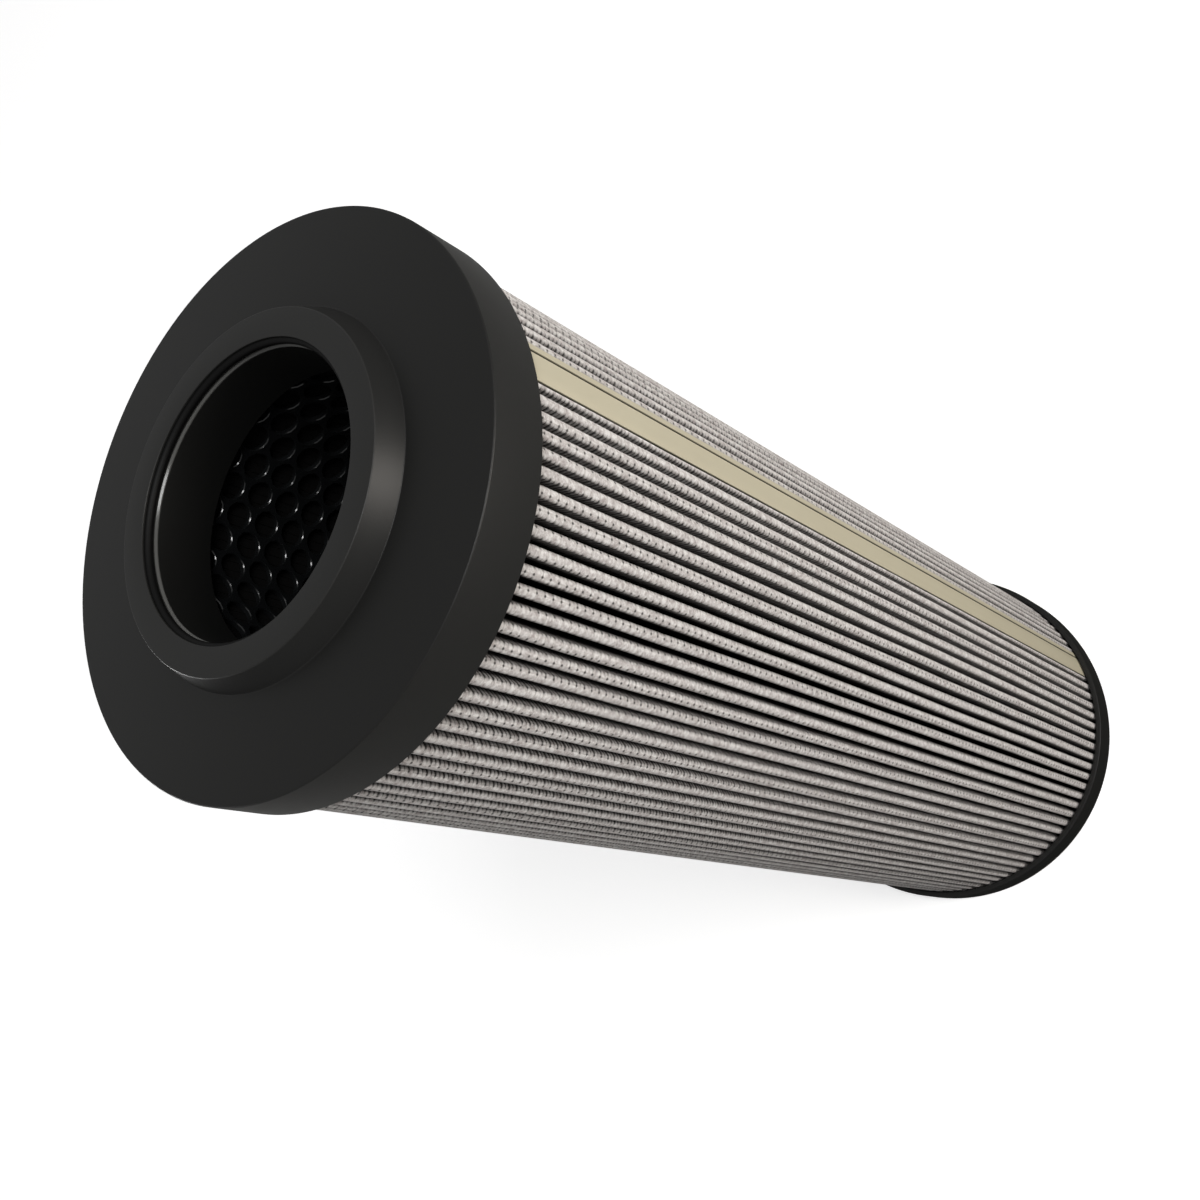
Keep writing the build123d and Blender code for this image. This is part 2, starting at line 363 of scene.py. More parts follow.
@dataclass(frozen=True)
class WovenWire:
    """Steel wire cloth in plain weave, with the pale fibre medium bulging through its meshes.

    The fibre is pale on the crests. Down the flanks its colour is darkened as painted
    shade and crossed by dark strokes beside the wires as painted shadows, and towards
    the valleys the painted shade goes to black.
    """

    name: str = "steel_wire_cloth_over_fibre"
    fibre: str = "#e9e6e4"
    fibre_shade: str = "#aea5a3"
    wire: str = "#d6d1ce"
    # Dark of the gaps in the cloth, which is also the colour that the painted shade goes to.
    gap_and_shade: str = "#141211"
    specular: float = 0.3
    fibre_roughness: float = 0.85
    wire_roughness: float = 0.36
    wire_metal: float = 0.25
    # The weave: pitches, wire, height of its relief and how much the wires swing.
    round_mm: float = 1.62
    along_mm: float = 1.7
    wire_mm: float = 0.24
    height_mm: float = 0.36
    sway: float = 0.55
    # The fibre's pillows: height over a wire, fullness and how much they sag round the folds.
    bulge: float = 1.5
    fullness: float = 0.5
    sag: float = 0.35
    # Stray of the weave: its reach and the length over which it turns.
    stray_mm: float = 0.34
    stray_length_mm: float = 4.0
    stray_detail: float = 1.0
    # Shade in patches, with the noise levels where it starts and is full.
    patch_mm: float = 0.8
    patch_detail: float = 4.0
    patch_roughness: float = 0.65
    patch_start: float = 0.4
    patch_full: float = 0.68
    # Dark dots at the crossings, partly dark gap and partly painted shade; strokes over the wires
    # and finer ticks between them, painted shadows.
    dot_mm: float = 0.27
    dot_depth: float = 0.95
    stroke_mm: float = 0.27
    stroke_most: float = 0.85
    stroke_chance: float = 2.4
    tick_mm: float = 0.19
    tick_depth: float = 0.75
    # Radii of the crest's top and of the shoulder where the flank starts.
    crest_mm: float = 41.62
    shoulder_mm: float = 41.2
    # Share of the colour taken off down the flanks as painted shade.
    painted_flank_shade: float = 0.64
    crest_relief: float = 0.15
    # Radii where the painted light in the valleys is full and where it is none, black painted
    # shade, and how fast it fades.
    painted_lit_mm: float = 40.6
    painted_dark_mm: float = 38.2
    painted_fade: float = 1.5
    # Levels of pillow and wire between which they come clear of the gap's dark, and the least;
    # below them the fibre's creases and the diving wires get painted shade.
    pillow_shade_range: Point = (0.1, 0.6)
    pillow_shade_least: float = 0.93
    wire_shade_range: Point = (0.3, 1.3)
    wire_shade_least: float = 0.6

    def wires(
        self, way: Value, crossing: Value, pitch_mm: float, sway: float
    ) -> tuple[Value, Value, Value]:
        """The wires met along one way, one at each whole number.

        Args:
            way: place along it, counted in wires.
            crossing: place along the other way, counted in its wires.
            pitch_mm: from wire to wire.
            sway: how far they swing, less than zero where the first one dives.

        Returns:
            Place beside the nearest wire, height of the wires (0 beside them) and swell
            of the fibre between them.
        """
        near = way.of("ROUND")
        beside = way - near
        across = beside / (self.wire_mm / pitch_mm / 2)
        inside = (1.0 - across * across).at_least(0.0)
        swing = ((crossing + near) * math.pi).of("COSINE") * sway
        height = (inside.of("SQRT") + swing + self.sway) * (inside > 0.0)
        return beside, height, (beside * math.pi).of("SINE").of("ABSOLUTE")

    def share(self, radius: Value, start_mm: float, end_mm: float) -> Value:
        """How far a radius has come from a start (0) to an end (1).

        Args:
            radius: the radius in metres.
            start_mm: the radius at 0.
            end_mm: the radius at 1.

        Returns:
            The share, kept between 0 and 1.
        """
        way = (radius - start_mm * MM) / ((end_mm - start_mm) * MM)
        return way.at_least(0.0).at_most(1.0)

    def build(self) -> bpy.types.Material:
        """Make the material from the weave, with stray in it, shade in patches and painted shade.
        """
        paint = Paint(self.name)
        radius, height = paint.round_axis(paint.place)
        developed = paint.add("ShaderNodeAttribute", attribute_name=DEVELOPED).outputs["Fac"]
        noise = paint.noise(self.stray_length_mm, self.stray_detail)
        aside, along, chance = paint.parts(noise.outputs["Color"])
        stray = self.stray_mm * MM
        fold = (aside * stray + developed) / (self.round_mm * MM)
        axis = (along * stray + height) / (self.along_mm * MM)
        fold_beside, fold_top, fold_swell = self.wires(fold, axis, self.round_mm, self.sway)
        axis_beside, axis_top, axis_swell = self.wires(axis, fold, self.along_mm, -self.sway)

        wire_top = fold_top.at_least(axis_top)
        pillow = ((fold_swell * self.sag + (1.0 - self.sag)) * axis_swell) ** self.fullness
        pillow_top = pillow * self.bulge
        relief = wire_top.at_least(pillow_top) / (1.0 + 2 * self.sway)
        is_wire = wire_top > pillow_top

        down = self.share(radius, self.crest_mm, self.shoulder_mm)
        # Painted shadows: dark strokes over the wires down the flanks, with finer ticks between
        # them.
        line = axis_beside * (self.along_mm / self.stroke_mm)
        twice = axis * 2.0
        tick = (twice - twice.of("ROUND")) * (self.along_mm / 2 / self.tick_mm)
        drawn = (1.0 - line * line).at_least(self.tick_depth - tick * tick).at_least(0.0)
        painted_stroke = (drawn * down * (chance * self.stroke_chance)).at_most(self.stroke_most)
        # Dark dots at the crossings, partly dark gap and partly painted shade. What strokes and
        # dots leave is clear of painted shadow.
        fold_reach = fold_beside * (self.round_mm / self.dot_mm)
        axis_reach = axis_beside * (self.along_mm / self.dot_mm)
        dot = (1.0 - (fold_reach * fold_reach + axis_reach * axis_reach)).at_least(0.0)
        clear = 1.0 - painted_stroke.at_least(dot * self.dot_depth)
        # Painted light: the colour darkened down the flanks and towards the valleys as painted
        # shade.
        painted_light = (1.0 - down * self.painted_flank_shade) * self.share(
            radius, self.painted_dark_mm, self.painted_lit_mm
        ) ** self.painted_fade

        patch = paint.noise(self.patch_mm, self.patch_detail, Roughness=self.patch_roughness)
        patches = paint.ranged(
            patch.outputs["Fac"], from_min=self.patch_start, from_max=self.patch_full
        )
        fibre = paint.mixed(patches, self.fibre, self.fibre_shade)
        # Painted shade: the fibre darker in the creases round its pillows, and the wires darker
        # where they dive.
        low, high = self.pillow_shade_range
        pillow_unshaded = paint.ranged(pillow, from_min=low, from_max=high, to_min=self.pillow_shade_least)
        low, high = self.wire_shade_range
        raised = paint.ranged(wire_top, from_min=low, from_max=high, to_min=self.wire_shade_least)
        cloth = paint.mixed(
            is_wire, paint.mixed(pillow_unshaded, self.gap_and_shade, fibre), paint.mixed(raised, self.gap_and_shade, self.wire)
        )
        looks = {
            "Base Color": paint.mixed(clear * painted_light, self.gap_and_shade, cloth),
            "Metallic": paint.ranged(is_wire, to_max=self.wire_metal),
            "Roughness": paint.ranged(
                is_wire, to_min=self.fibre_roughness, to_max=self.wire_roughness
            ),
            "Specular IOR Level": self.specular,
        }
        swollen = relief * (down * (1.0 - self.crest_relief) + self.crest_relief)
        return paint.finished(looks, swollen, self.height_mm)


@dataclass(frozen=True)
class CreamPolymer:
    """Cream polyamide strip, extruded: satin, with faint draw lines along its length.

    Its groove, between two radii, is painted dark as painted shade.
    """

    name: str = "cream_polyamide_extruded"
    base: str = "#cdc6ae"
    shade: str = "#c6bea6"
    # Painted shade in the groove.
    groove: str = "#2b261c"
    groove_floor_mm: float = 41.4
    face_mm: float = 41.66
    roughness: float = 0.5
    drift_mm: float = 50 / 3
    line_mm: float = 0.5
    line_stretch: float = 60.0
    line_height_mm: float = 0.01
    line_strength: float = 0.4
    detail: float = 2.0

    def build(self) -> bpy.types.Material:
        """Make the material: colour that drifts along the strip and draw lines as bump."""
        paint = Paint(self.name)
        radius, _ = paint.round_axis(paint.place)
        drift = paint.noise(self.drift_mm, self.detail)
        tint = paint.mixed(drift.outputs["Fac"], self.base, self.shade)
        # Painted shade: darker from the face down to the groove's floor.
        out_of_groove_shade = paint.ranged(
            radius, from_min=self.groove_floor_mm * MM, from_max=self.face_mm * MM
        )
        stretch = {"Vector": paint.place, "Scale": (1.0, 1.0, 1 / self.line_stretch)}
        stretched = paint.add("ShaderNodeMapping", stretch).outputs[0]
        lines = paint.noise(self.line_mm, self.detail, Vector=stretched)
        looks = {
            "Base Color": paint.mixed(out_of_groove_shade, self.groove, tint),
            "Roughness": self.roughness,
        }
        return paint.finished(
            looks, lines.outputs["Fac"], self.line_height_mm, self.line_strength
        )


@dataclass(frozen=True)
class Corner:
    """A corner of a turned outline, with the radius that breaks it."""

    radius: float
    height: float
    round: float = 0.0


def rounded(corners: list[Corner], steps: int = 4) -> list[Point]:
    """Replace each broken corner of a closed outline by points of its arc.

    Args:
        corners: the outline's corners, in order.
        steps: chords along each arc.

    Returns:
        The outline's points, as radius and height.
    """
    points: list[Point] = []
    places = [Vector((corner.radius, corner.height)) for corner in corners]
    for index, corner in enumerate(corners):
        here = places[index]
        before = places[index - 1] - here
        after = places[(index + 1) % len(corners)] - here
        if corner.round <= 0:
            points.append((here.x, here.y))
            continue
        half = before.angle(after) / 2
        reach = min(corner.round / math.tan(half), before.length / 2, after.length / 2)
        start = before.normalized() * reach
        end = after.normalized() * reach
        for step in range(steps + 1):
            share = step / steps
            bent = start * (1 - share) ** 2 + end * share**2
            points.append((here.x + bent.x, here.y + bent.y))
    return points


def revolve(name: str, outline: list[Point], segments: int = 192) -> bpy.types.Object:
    """Turn a closed outline round the Z axis into a smooth closed mesh.

    Args:
        name: the object's name.
        outline: radius and height of each point, in millimetres.
        segments: facets round the axis.

    Returns:
        The new object, linked to the scene.
    """
    mesh = bmesh.new()
    rings: list[list[Vert]] = []
    for radius, height in outline:
        if radius <= 0:
            rings.append([mesh.verts.new((0, 0, height * MM))] * segments)
            continue
        rings.append([])
        for step in range(segments):
            angle = 2 * math.pi * step / segments
            spot = (radius * MM * math.cos(angle), radius * MM * math.sin(angle), height * MM)
            rings[-1].append(mesh.verts.new(spot))
    for index, ring in enumerate(rings):
        other = rings[(index + 1) % len(rings)]
        if ring[0] is ring[1] and other[0] is other[1]:
            continue
        for step in range(segments):
            ahead = (step + 1) % segments
            loop = [ring[step], ring[ahead], other[ahead], other[step]]
            mesh.faces.new(list(dict.fromkeys(loop)))
    bmesh.ops.recalc_face_normals(mesh, faces=mesh.faces)
    return link_mesh(name, mesh)


def smooth(data: bpy.types.Mesh, sharp: float) -> None:
    """Shade a mesh smooth but for the edges that turn by more degrees than sharp."""
    data.shade_smooth()
    data.set_sharp_from_angle(angle=math.radians(sharp))


def link_mesh(name: str, mesh: bmesh.types.BMesh, sharp: float = 35.0) -> bpy.types.Object:
    """Make a smooth-shaded object of a bmesh and link it.

    Args:
        name: the object's name.
        mesh: the geometry, which is freed.
        sharp: edges that turn by more degrees than this stay sharp.

    Returns:
        The new object.
    """
    data = bpy.data.meshes.new(name)
    mesh.to_mesh(data)
    mesh.free()
    smooth(data, sharp)
    made = bpy.data.objects.new(name, data)
    bpy.context.scene.collection.objects.link(made)
    return made


def seat(piece: bpy.types.Object, material: bpy.types.Material, node: str) -> None:
    """Dress a piece and let it stand for its CAD node.

    Args:
        piece: the finished piece.
        material: its finish.
        node: the CAD node that it stands for.
    """
    piece.data.materials.clear()
    piece.data.materials.append(material)
    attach(piece, BODY)
    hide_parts(node)
    LOG.info("%s stands for %s with %d faces", piece.name, node, len(piece.data.polygons))


@dataclass
class EndCaps:
    """The two moulded caps and the seal ring in the open one's mouth."""

    finish: MouldedNylon
    ring_finish: Mottled
    radius: float = 43.25
    skirt_inside: float = 42.0
    face: float = 237.3
    skirt_foot: float = 228.15
    channel_top: float = 235.1
    neck_foot: float = 28.05
    neck_front: float = 26.5
    neck_top: float = 241.25
    mouth: float = 22.1
    groove: float = 22.86
    groove_top: float = 240.9
    groove_foot: float = 239.42
    bore: float = 21.4
    sleeve: float = 22.4
    sleeve_foot: float = 229.6
    lead_in: float = 0.26
    ring_middle: Point = (22.12, 240.16)
    ring_section: float = 0.7
    ring_chords: int = 20
    closed_skirt: float = 7.4
    closed_floor: float = 2.0
    spigot_inside: float = 21.0
    spigot_top: float = 8.0
    # Radii that break the edges.
    outer_edge: float = 0.3
    neck_edge: float = 0.25
    neck_fillet: float = 0.2
    lip_edge: float = 0.12
    sleeve_edge: float = 0.1

    def open_outline(self) -> list[Point]:
        """Section of the open cap: face, neck, mouth, sleeve and skirt."""
        return rounded(
            [
                Corner(self.radius, self.skirt_foot, self.lip_edge),
                Corner(self.radius, self.face, self.outer_edge),
                Corner(self.neck_foot, self.face, self.neck_fillet),
                Corner(self.neck_front, self.neck_top, self.neck_edge),
                Corner(self.mouth, self.neck_top, self.lip_edge),
                Corner(self.mouth, self.groove_top),
                Corner(self.groove, self.groove_top),
                Corner(self.groove, self.groove_foot),
                Corner(self.bore + self.lead_in, self.groove_foot),
                Corner(self.bore, self.groove_foot - self.lead_in),
                Corner(self.bore, self.sleeve_foot, self.sleeve_edge),
                Corner(self.sleeve, self.sleeve_foot, self.sleeve_edge),
                Corner(self.sleeve, self.channel_top),
                Corner(self.skirt_inside, self.channel_top),
                Corner(self.skirt_inside, self.skirt_foot, self.lip_edge),
            ]
        )

    def closed_outline(self) -> list[Point]:
        """Section of the closed cap: floor, skirt and spigot."""
        return rounded(
            [
                Corner(0, 0),
                Corner(self.radius, 0, self.outer_edge),
                Corner(self.radius, self.closed_skirt, self.lip_edge),
                Corner(self.skirt_inside, self.closed_skirt, self.lip_edge),
                Corner(self.skirt_inside, self.closed_floor),
                Corner(self.sleeve, self.closed_floor),
                Corner(self.sleeve, self.spigot_top, self.sleeve_edge),
                Corner(self.spigot_inside, self.spigot_top, self.sleeve_edge),
                Corner(self.spigot_inside, self.closed_floor),
                Corner(0, self.closed_floor),
            ]
        )

    def ring_outline(self) -> list[Point]:
        """Round section of the seal ring."""
        middle, height = self.ring_middle
        section = self.ring_section
        turns = [2 * math.pi * step / self.ring_chords for step in range(self.ring_chords)]
        return [
            (middle + section * math.cos(turn), height + section * math.sin(turn))
            for turn in turns
        ]

    def build(self) -> None:
        """Make and dress both caps and the ring."""
        plastic = self.finish.build()
        near = revolve("open_cap_moulding", self.open_outline())
        seat(near, plastic, "open_end_cap")
        far = revolve("closed_cap_moulding", self.closed_outline())
        seat(far, plastic, "closed_end_cap")
        ring = revolve("mouth_seal_ring", self.ring_outline())
        seat(ring, self.ring_finish.build(), "neck_o_ring")


class Recipe(Nodes):
    """A Geometry Nodes tree with named inputs, run once on an object and applied."""

    def __init__(self, name: str, **sizes: object) -> None:
        """Start the tree.

        Args:
            name: the tree's name.
            sizes: name and value of each input; the value's type gives the socket's.
        """
        super().__init__(bpy.data.node_groups.new(name, "GeometryNodeTree"))
        self.values: dict[str, object] = {}
        self.declare("Geometry", "OUTPUT", "Geometry")
        self.declare("Geometry", "INPUT", "Geometry")
        self.given = self.add("NodeGroupInput")
        kinds = {
            int: "Int",
            float: "Float",
            bpy.types.Object: "Object",
            bpy.types.Material: "Material",
        }
        for key, value in sizes.items():
            kind = next(kinds[known] for known in kinds if isinstance(value, known))
            self.values[self.declare(key, "INPUT", kind)] = value

    def declare(self, name: str, side: str, kind: str) -> str:
        """Add a socket to the tree's face.

        Args:
            name: the socket's name.
            side: INPUT or OUTPUT.
            kind: what it holds.

        Returns:
            The identifier by which a modifier knows it.
        """
        made = self.tree.interface.new_socket(
            name, in_out=side, socket_type=f"NodeSocket{kind}"
        )
        return made.identifier

    def size(self, name: str) -> Value:
        """The value of a named input."""
        return Value(self.tree, self.given.outputs[name])

    def index(self) -> Value:
        """The number of each element."""
        return Value(self.tree, self.add("GeometryNodeInputIndex").outputs[0])

    def combined(self, **parts: object) -> Socket:
        """The vector with the given X, Y and Z, zero where one isn't given."""
        return self.add("ShaderNodeCombineXYZ", parts).outputs[0]

    def moved(self, geometry: Socket, **vector: Socket) -> Socket:
        """Geometry moved to a Position, or by an Offset."""
        inputs = {"Geometry": geometry, **vector}
        return self.add("GeometryNodeSetPosition", inputs).outputs[0]

    def template(self, name: str) -> Socket:
        """Geometry of the object that a named input holds."""
        return self.add("GeometryNodeObjectInfo", {"Object": self.size(name)}).outputs["Geometry"]

    def copies(self, name: str, count: Value, rotation: object, **place: Value) -> Socket:
        """Copies of a template, standing on points.

        Args:
            name: the named input with the template.
            count: how many.
            rotation: turn of each copy.
            place: X, Y and Z of each copy where it isn't zero.

        Returns:
            The copies.
        """
        points = self.add("GeometryNodePoints", {"Count": count}).outputs[0]
        inputs = {
            "Points": self.moved(points, Position=self.combined(**place)),
            "Instance": self.template(name),
            "Rotation": rotation,
        }
        return self.add("GeometryNodeInstanceOnPoints", inputs).outputs[0]

    def joined(self, *parts: Socket) -> Socket:
        """One realized geometry made of several."""
        join = self.add("GeometryNodeJoinGeometry")
        for part in parts:
            self.tree.links.new(part, join.inputs[0])
        return self.add("GeometryNodeRealizeInstances", {0: join.outputs[0]}).outputs[0]

    def run(self, name: str, made: Socket, weld_mm: float, sharp: float) -> bpy.types.Object:
        """Run the recipe, keep its result as a plain mesh and remove its templates.

        Args:
            name: the result's name.
            made: the finished geometry.
            weld_mm: points closer than this become one.
            sharp: edges that turn by more degrees than this stay sharp.

        Returns:
            The new object, at the origin, its faces turned outwards.
        """
        welded = {"Geometry": made, "Distance": weld_mm * MM}
        shut = self.add("GeometryNodeMergeByDistance", welded).outputs[0]
        dressed = {"Geometry": shut, "Material": self.size("Finish")}
        self.add(
            "NodeGroupOutput", {0: self.add("GeometryNodeSetMaterial", dressed).outputs[0]}
        )
        seed = bpy.data.objects.new(name, bpy.data.meshes.new(name + "_seed"))
        bpy.context.scene.collection.objects.link(seed)
        modifier = seed.modifiers.new("recipe", "NODES")
        modifier.node_group = self.tree
        for identifier, value in self.values.items():
            modifier[identifier] = value
        graph = bpy.context.evaluated_depsgraph_get()
        seed.data = bpy.data.meshes.new_from_object(seed.evaluated_get(graph))
        seed.modifiers.clear()
        for value in self.values.values():
            if isinstance(value, bpy.types.Object):
                bpy.data.objects.remove(value)
        mesh = bmesh.new()
        mesh.from_mesh(seed.data)
        bmesh.ops.recalc_face_normals(mesh, faces=mesh.faces)
        mesh.to_mesh(seed.data)
        mesh.free()
        smooth(seed.data, sharp)
        return seed


@dataclass
class CoreTube:
    """The perforated steel tube inside the pack, its holes punched in staggered columns."""

    finish: Mottled
    foot: float = 2.0
    top: float = 235.1
    inside: float = 22.5
    outside: float = 23.4
    columns: int = 34
    rows: int = 41
    row_pitch: float = 5.4
    top_row: float = 229.9
    first_angle: float = 147.6
    hole: float = 4.3
    edge_round: float = 0.13
    weld: float = 0.02
    sharp: float = 40.0

    @property
    def column_pitch(self) -> float:
        """Width of a column on the inner face."""
        return 2 * math.pi * self.inside / self.columns

    @property
    def field(self) -> Point:
        """Half widths of a hole's six-sided field: across its points and along its flats."""
        across, half = self.column_pitch, self.row_pitch / 2
        square = (across**2 + half**2) / 2
        return square / across, (square - half**2) / across

    def cell_corners(self) -> list[Point]:
        """Twelve points round the six-sided field of plate that belongs to one hole."""
        half = self.row_pitch / 2
        side, cap = self.field
        quarter = [(side, 0.0), ((side + cap) / 2, half / 2), (cap, half), (0.0, half)]
        mirrored = [(-x, z) for x, z in quarter[2::-1]]
        upper = quarter + mirrored
        lower = [(x, -z) for x, z in upper[-2:0:-1]]
        return upper + lower

    def cell(self) -> bpy.types.Object:
        """Flat plate round one hole: X is the way round, Y the thickness and Z the axis."""
        mesh = bmesh.new()
        thick = self.outside - self.inside
        radius = self.hole / 2
        loops: list[list[Vert]] = [[], [], [], [], []]
        for x, z in self.cell_corners():
            reach = math.hypot(x, z)
            rim, wall = (radius + self.edge_round) / reach, radius / reach
            spots = ((1.0, 0.0), (rim, 0.0), (wall, self.edge_round), (wall, thick), (1.0, thick))
            for loop, (share, depth) in zip(loops, spots):
                loop.append(mesh.verts.new((x * share * MM, depth * MM, z * share * MM)))
        for near, far in zip(loops, loops[1:]):
            for step in range(len(near)):
                ahead = (step + 1) % len(near)
                mesh.faces.new([near[step], near[ahead], far[ahead], far[step]])
        return link_mesh("hole_cell", mesh)

    def end_field(self, name: str, length: float) -> bpy.types.Object:
        """Plain plate from the zigzag edge of two columns to the tube's end.

        Args:
            name: the object's name.
            length: from the higher column's edge to the end.

        Returns:
            The field, upright, with the higher column's middle at X zero.
        """
        across, half = self.column_pitch, self.row_pitch / 2
        cap = self.field[1]
        low = [(-cap, half), (0.0, half), (cap, half), (across / 2, half / 2)]
        high = [(across - cap, 0.0), (across, 0.0), (across + cap, 0.0)]
        edge = low + high + [(across * 1.5, half / 2), (2 * across - cap, half)]
        thick = self.outside - self.inside
        mesh = bmesh.new()
        columns = []
        for x, z in edge:
            end = half + length
            spots = ((x, 0.0, z), (x, 0.0, end), (x, thick, end), (x, thick, z))
            columns.append([mesh.verts.new(Vector(spot) * MM) for spot in spots])
        for left, right in zip(columns, columns[1:]):
            for step in range(3):
                face = [left[step], right[step], right[step + 1], left[step + 1]]
                mesh.faces.new(face[::-1])
        return link_mesh(name, mesh)

    def build(self) -> None:
        """Tile the plate with cells, bend it into a tube and dress it."""
        finish = self.finish.build()
        half = self.row_pitch / 2
        last_row = self.top_row - half - (self.rows - 1) * self.row_pitch
        recipe = Recipe(
            "perforated_tube",
            Cell=self.cell(),
            Top=self.end_field("top_field", self.top - self.top_row - half),
            Foot=self.end_field("foot_field", last_row - half - self.foot),
            Columns=self.columns,
            Rows=self.rows,
            Across=self.column_pitch * MM,
            Pitch=self.row_pitch * MM,
            TopRow=self.top_row * MM,
            LastRow=last_row * MM,
            Inside=self.inside * MM,
            First=math.radians(self.first_angle),
            Finish=finish,
        )
        index, across, columns = recipe.index(), recipe.size("Across"), recipe.size("Columns")
        column, row = index % columns, (index / columns).of("FLOOR")
        drop = row + column % 2.0 * 0.5
        height = recipe.size("TopRow") - drop * recipe.size("Pitch")
        pair, pairs = index * 2.0 * across, columns / 2.0
        upright, upside_down = (0.0, 0.0, 0.0), (0.0, math.pi, 0.0)
        count = columns * recipe.size("Rows")
        flat = recipe.joined(
            recipe.copies("Cell", count, upright, X=column * across, Z=height),
            recipe.copies("Top", pairs, upright, X=pair, Z=recipe.size("TopRow")),
            recipe.copies("Foot", pairs, upside_down, X=pair + across, Z=recipe.size("LastRow")),
        )
        place = recipe.add("GeometryNodeInputPosition").outputs[0]
        along, depth, level = recipe.parts(place)
        angle = along / recipe.size("Inside") + recipe.size("First")
        radius = depth + recipe.size("Inside")
        bent = recipe.combined(X=radius * angle.of("COSINE"), Y=radius * angle.of("SINE"), Z=level)
        tube = recipe.moved(flat, Position=bent)
        made = recipe.run("perforated_core_tube", tube, self.weld, self.sharp)
        seat(made, finish, "core_tube")


@dataclass
class PleatPack:
    """The wire cloth, folded into pleats round the core."""

    finish: WovenWire
    foot: float = 3.6
    top: float = 233.5
    crest: float = 41.7
    root: float = 24.25
    crest_half: float = 0.85
    crest_rise: float = 0.62
    least_rise: float = 0.15
    valley_half: float = 0.051
    thickness: float = 0.3
    pitch: float = 3.6
    pleats: int = 97
    first_crest: float = 7.2
    end_leg: float = 3.6
    end_leg_radius: float = 40.67
    half_crest: float = 0.35
    crest_chords: int = 8
    lengths: int = 24
    weld: float = 0.01
    sharp: float = 60.0
    # Wander of the pleats: reach, length, share of it that the ends hold still, the
    # step between two pleats in the noise, its seed and its range.
    wander: float = 0.14
    wander_length: float = 45.0
    held_share: float = 0.4
    lane_step: float = 7.3
    seed: float = 7.0
    noise_range: Point = (0.25, 0.75)

    def spot(self, radius: float, angle: float, sideways: float = 0.0) -> Point:
        """Place of a point of the section.

        Args:
            radius: distance from the axis.
            angle: the ray's angle in degrees.
            sideways: length to the ray's left.

        Returns:
            X and Y.
        """
        around = math.radians(angle) + math.asin(sideways / radius)
        return (radius * math.cos(around), radius * math.sin(around))

    def crest_spot(self, depth: float, turn: float, angle: float) -> Point:
        """A point of a crest's round back.

        Args:
            depth: how far under the outer skin it lies.
            turn: 0 at the crest's right-hand side, pi at its left.
            angle: the crest's angle in degrees.

        Returns:
            X and Y.
        """
        half = self.crest_half - depth
        rise = max(self.crest_rise - depth, self.least_rise)
        radius = self.crest - depth - rise + rise * math.sin(turn)
        return self.spot(radius, angle, -half * math.cos(turn))

    def pleat_skin(self, depth: float) -> list[Point]:
        """One pleat's skin, from its right-hand root to the next pleat's, crest on +X."""
        root, valley, half = self.root - depth, self.valley_half + depth, self.pitch / 2
        turns = [math.pi * step / self.crest_chords for step in range(self.crest_chords + 1)]
        return [
            self.spot(root, -half, valley),
            *(self.crest_spot(depth, turn, 0.0) for turn in turns),
            self.spot(root, half, -valley),
            self.spot(root, half, valley),
        ]

    def leg_skins(self, depth: float) -> tuple[list[Point], list[Point]]:
        """The two end legs' skins, which run from the seam to the first and last root.

        Args:
            depth: how far under the outer skin they lie.

        Returns:
            The leg at +Y, seam first, and the leg at -Y, root first.
        """
        half = self.crest_half - depth
        root, valley = self.root - depth, self.valley_half + depth
        seam = self.end_leg + self.pitch / 2
        first = [
            self.spot(self.end_leg_radius, self.end_leg, half),
            self.spot(root, seam, -valley),
            self.spot(root, seam, valley),
        ]
        chords = self.crest_chords // 2
        over = math.acos(self.half_crest / half)
        turns = [over * step / chords for step in range(chords + 1)]
        bent = [self.crest_spot(depth, turn, -self.end_leg) for turn in turns]
        return first, [self.spot(root, -seam, valley), *bent]

    def run_length(self, skin: list[Point]) -> float:
        """Developed length of a skin in millimetres."""
        return sum(math.dist(one, two) for one, two in zip(skin, skin[1:]))

    def add_sheet(
        self, mesh: bmesh.types.BMesh, outer: list[Point], inner: list[Point], start: float
    ) -> list[list[Vert]]:
        """Run a strip of the section up the axis, with its developed length on each point.

        Args:
            mesh: the mesh that gets it.
            outer: the outer skin.
            inner: the inner skin, point for point.
            start: developed length at the first point.

        Returns:
            The strip's rings of points, one for each place along the skin.
        """
        layer = mesh.verts.layers.float[DEVELOPED]
        rise = self.top - self.foot
        levels = [self.foot + rise * step / self.lengths for step in range(self.lengths + 1)]
        rings: list[list[Vert]] = []
        for index, (near, far) in enumerate(zip(outer, inner)):
            ring = [mesh.verts.new((near[0] * MM, near[1] * MM, z * MM)) for z in levels]
            ring += [mesh.verts.new((far[0] * MM, far[1] * MM, z * MM)) for z in levels[::-1]]
            for vert in ring:
                vert[layer] = (start + self.run_length(outer[: index + 1])) * MM
            rings.append(ring)
        for left, right in zip(rings, rings[1:]):
            for step in range(len(left)):
                ahead = (step + 1) % len(left)
                mesh.faces.new([left[step], right[step], right[ahead], left[ahead]])
        return rings

    def pleat(self) -> bpy.types.Object:
        """One pleat, its crest on +X."""
        mesh = bmesh.new()
        mesh.verts.layers.float.new(DEVELOPED)
        self.add_sheet(mesh, self.pleat_skin(0.0), self.pleat_skin(self.thickness), 0.0)
        return link_mesh("pleat", mesh, self.sharp)

